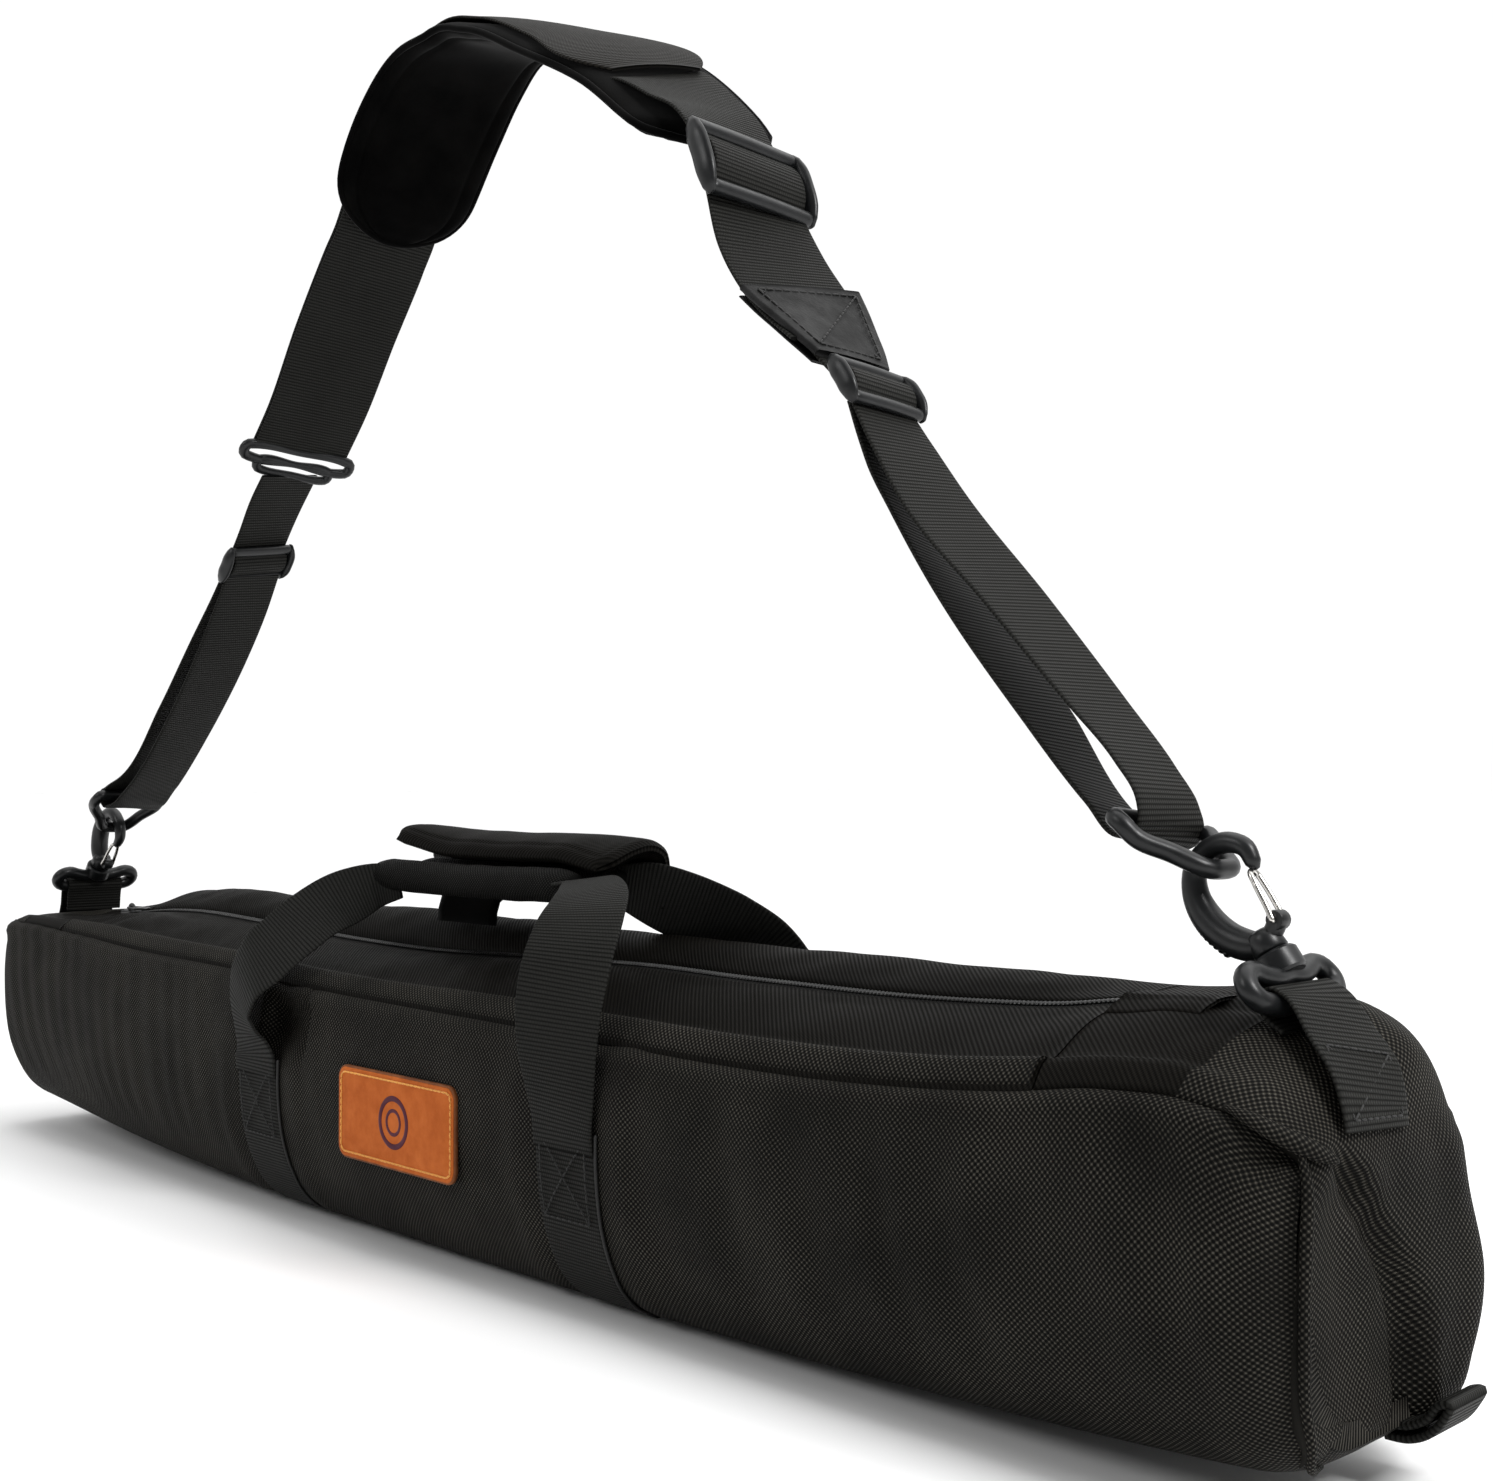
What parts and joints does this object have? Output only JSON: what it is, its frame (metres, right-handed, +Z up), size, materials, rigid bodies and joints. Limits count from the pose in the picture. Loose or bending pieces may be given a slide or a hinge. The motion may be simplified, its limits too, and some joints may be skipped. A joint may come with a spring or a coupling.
{
  "type": "padded carry case",
  "caption": "Long padded fabric case with a zipped two-panel top, twin webbing handles with a grip wrap, and a padded shoulder strap on swivel snap hooks.",
  "frame": {"origin": "middle of the flat belly, on the surface the case rests on", "axes": "+X along the case to the near end, +Z up, the badge faces -Y"},
  "size_m": [0.9418, 0.1366, 0.5873],
  "materials": {
    "shell_fabric": "coarse ballistic weave",
    "top_fabric": "fine twill weave",
    "lining": "smooth lining",
    "foam": "closed-cell padding",
    "webbing": "ribbed webbing",
    "pad_fabric": "soft brushed fabric",
    "thread": "sewing thread",
    "leather_badge": "tan leather with contrast stitching",
    "emblem": "debossed dark mark",
    "strap_leather": "black grained synthetic leather",
    "plastic": "moulded, slight sheen",
    "zip_metal": "black enamel",
    "zip_coil": "nylon coil",
    "steel_wire": "polished wire"
  },
  "bodies": {
    "root": {"front_panel": "shell_fabric", "base_panel": "shell_fabric", "rear_panel": "shell_fabric", "near_end_panel": "shell_fabric", "far_end_panel": "shell_fabric", "front_foam": "foam", "base_foam": "foam", "rear_foam": "foam", "near_end_foam": "foam", "far_end_foam": "foam", "inner_lining": "lining", "near_top_gusset": "shell_fabric", "far_top_gusset": "shell_fabric", "zip_end_coils": "zip_coil", "zip_garage": "shell_fabric", "seam_piping": "webbing", "belly_band_near": "webbing", "belly_band_far": "webbing", "box_stitching": "thread", "badge": "leather_badge", "badge_emblem": "emblem", "near_swivel_base": "plastic", "far_swivel_base": "plastic", "near_tab": "webbing", "far_tab": "webbing"},
    "front_lid": {"front_top_panel": "top_fabric", "front_top_foam": "foam", "front_zip_tape": "webbing", "front_zip_coil": "zip_coil"},
    "rear_lid": {"rear_top_panel": "top_fabric", "rear_top_foam": "foam", "rear_zip_tape": "webbing", "rear_zip_coil": "zip_coil"},
    "front_handle": {"front_handle_webbing": "webbing", "front_grip_roll": "shell_fabric"},
    "rear_handle": {"rear_handle_webbing": "webbing", "rear_grip_roll": "shell_fabric", "grip_flap_root": "pad_fabric"},
    "grip_wrap": {"grip_flap": "pad_fabric"},
    "zip_slider": {"zip_slider": "zip_metal"},
    "zip_pull": {"zip_pull": "zip_metal"},
    "near_hook": {"near_hook": "plastic"},
    "near_gate": {"near_gate": "steel_wire"},
    "far_hook": {"far_hook": "plastic"},
    "far_gate": {"far_gate": "steel_wire"},
    "strap": {"near_ring": "plastic", "near_narrow_webbing": "webbing", "strap_patch": "strap_leather", "near_wide_webbing": "webbing", "shoulder_pad": "pad_fabric", "pad_sleeve": "webbing", "far_wide_webbing": "webbing", "far_adapter": "plastic", "far_narrow_webbing": "webbing", "far_ring": "plastic"},
    "near_triglide": {"near_triglide": "plastic"},
    "wide_slider": {"wide_slider": "plastic"},
    "far_triglide": {"far_triglide": "plastic"},
    "grab_tab": {"grab_tab": "webbing"}
  },
  "joints": [
    {"name": "front_lid_open", "type": "hinge", "parent": "root", "child": "front_lid", "pos_m": [0, -0.0585, 0.1182], "axis": [1, 0, 0], "range_deg": [0, 80]},
    {"name": "rear_lid_open", "type": "hinge", "parent": "root", "child": "rear_lid", "pos_m": [0, 0.0585, 0.1182], "axis": [-1, 0, 0], "range_deg": [0, 80]},
    {"name": "front_handle_fold", "type": "hinge", "parent": "root", "child": "front_handle", "pos_m": [0, -0.0672, 0.1004], "axis": [1, 0, 0], "range_deg": [0, 120]},
    {"name": "rear_handle_fold", "type": "hinge", "parent": "root", "child": "rear_handle", "pos_m": [0, 0.0672, 0.1004], "axis": [-1, 0, 0], "range_deg": [0, 120]},
    {"name": "grip_wrap_open", "type": "hinge", "parent": "rear_handle", "child": "grip_wrap", "pos_m": [0, 0.028, 0.178], "axis": [-1, 0, 0], "range_deg": [0, 120]},
    {"name": "zip_run", "type": "slide", "parent": "root", "child": "zip_slider", "axis": [1, 0, 0], "range_m": [0, 0.768]},
    {"name": "zip_pull_flip", "type": "hinge", "parent": "zip_slider", "child": "zip_pull", "pos_m": [-0.384, 0, 0.1383], "axis": [0, -1, 0], "range_deg": [0, 180]},
    {"name": "near_hook_swivel", "type": "hinge", "parent": "root", "child": "near_hook", "pos_m": [0.424, 0, 0.1555], "axis": [-0.5798, 0, 0.8147], "range_deg": [-10, 10]},
    {"name": "near_gate_open", "type": "hinge", "parent": "near_hook", "child": "near_gate", "pos_m": [0.41966, 0, 0.17574], "axis": [0, -1, 0], "range_deg": [0, 22], "stiffness_Nm_per_rad": 0.02, "springref_deg": -11.46},
    {"name": "far_hook_swivel", "type": "hinge", "parent": "root", "child": "far_hook", "pos_m": [-0.444, 0, 0.1555], "axis": [0.6198, 0, 0.7848], "range_deg": [-10, 10]},
    {"name": "far_gate_open", "type": "hinge", "parent": "far_hook", "child": "far_gate", "pos_m": [-0.42579, 0, 0.16533], "axis": [0, -1, 0], "range_deg": [0, 22], "stiffness_Nm_per_rad": 0.02, "springref_deg": -11.46},
    {"name": "strap_swing", "type": "hinge", "parent": "root", "child": "strap", "pos_m": [0, 0, 0.195], "axis": [1, 0, 0], "range_deg": [-35, 35]},
    {"name": "near_triglide_slide", "type": "slide", "parent": "strap", "child": "near_triglide", "axis": [-0.5673, 0, 0.8235], "range_m": [-0.006, 0.006]},
    {"name": "wide_slider_slide", "type": "slide", "parent": "strap", "child": "wide_slider", "axis": [-0.3604, 0, 0.9328], "range_m": [-0.006, 0.006]},
    {"name": "far_triglide_slide", "type": "slide", "parent": "strap", "child": "far_triglide", "axis": [0.6487, 0, 0.761], "range_m": [-0.006, 0.006]},
    {"name": "grab_tab_lift", "type": "hinge", "parent": "root", "child": "grab_tab", "pos_m": [0.4578, 0.04, 0.024], "axis": [0, -1, 0], "range_deg": [0, 90]}
  ],
  "couplings": [
    {"joint": "front_handle_fold", "follows": "front_lid_open", "ratio": 1.5},
    {"joint": "rear_handle_fold", "follows": "rear_lid_open", "ratio": 1.5}
  ]
}
